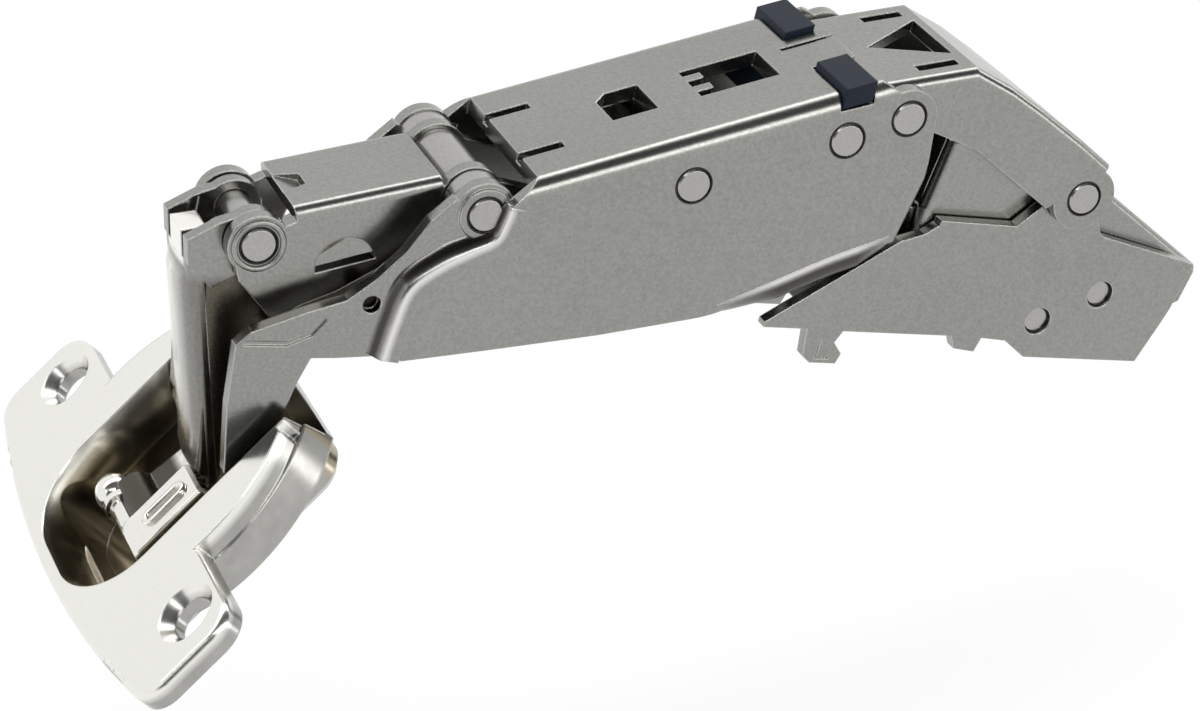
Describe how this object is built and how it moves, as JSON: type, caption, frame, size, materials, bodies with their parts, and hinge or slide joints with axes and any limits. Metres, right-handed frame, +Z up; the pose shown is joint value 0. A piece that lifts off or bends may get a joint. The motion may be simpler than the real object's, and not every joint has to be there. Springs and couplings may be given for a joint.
{
  "type": "concealed cabinet hinge",
  "caption": "Concealed wide-opening cabinet hinge: a screw-on round cup with wings, crossed folded levers and links, and a clip-on base channel.",
  "frame": {"origin": "middle of the base's flat underside, under the rear of the base", "axes": "+X along the hinge away from the cup, +Y across the hinge, +Z up out of the base underside"},
  "size_m": [0.1245, 0.06, 0.0703],
  "materials": {
    "steel": "satin nickel plate",
    "pin_steel": "bright nickel plate",
    "casting": "polished nickel plate on a die-casting",
    "plastic": "dark moulded plastic"
  },
  "bodies": {
    "base": {"base_channel": "steel", "slide": "steel", "base_axle": "pin_steel", "base_pin_front": "pin_steel", "base_pin_rear": "pin_steel"},
    "rear_link": {"rear_link": "steel"},
    "outer_lever": {"outer_lever": "steel", "guide_block": "plastic", "spring_pin": "pin_steel", "guide_pin": "pin_steel", "rear_axle": "pin_steel", "centre_axle": "pin_steel", "centre_bush_near": "pin_steel", "centre_bush_far": "pin_steel"},
    "inner_lever": {"inner_lever": "steel", "front_axle": "pin_steel", "lever_axle": "pin_steel", "centre_sleeve": "pin_steel"},
    "front_link": {"front_link": "steel", "link_axle": "pin_steel"},
    "cup": {"cup": "casting", "cup_pin_near": "pin_steel", "cup_pin_far": "pin_steel"}
  },
  "joints": [
    {"name": "rear_link_pivot", "type": "hinge", "parent": "base", "child": "rear_link", "pos_m": [-0.0072, 0, 0.02013], "axis": [0, 1, 0], "range_deg": [-12.6, 86.8]},
    {"name": "outer_lever_pivot", "type": "hinge", "parent": "rear_link", "child": "outer_lever", "pos_m": [-0.0328, 0, 0.0286], "axis": [0, 1, 0], "range_deg": [-64.78, 9.57]},
    {"name": "centre_pivot", "type": "hinge", "parent": "outer_lever", "child": "inner_lever", "pos_m": [-0.0768, 0, 0.01455], "axis": [0, 1, 0], "range_deg": [-8.15, 54.97]},
    {"name": "front_link_pivot", "type": "hinge", "parent": "inner_lever", "child": "front_link", "pos_m": [-0.0981, 0, 0.008], "axis": [0, 1, 0], "range_deg": [-52.28, 7.76]},
    {"name": "cup_pivot", "type": "hinge", "parent": "outer_lever", "child": "cup", "pos_m": [-0.09477, 0, -0.01666], "axis": [0, 1, 0], "range_deg": [-17.88, 121.98]}
  ],
  "couplings": [
    {"joint": "outer_lever_pivot", "follows": "rear_link_pivot", "ratio": -0.744},
    {"joint": "centre_pivot", "follows": "rear_link_pivot", "ratio": 0.631},
    {"joint": "front_link_pivot", "follows": "rear_link_pivot", "ratio": -0.6},
    {"joint": "cup_pivot", "follows": "rear_link_pivot", "ratio": 1.403}
  ]
}
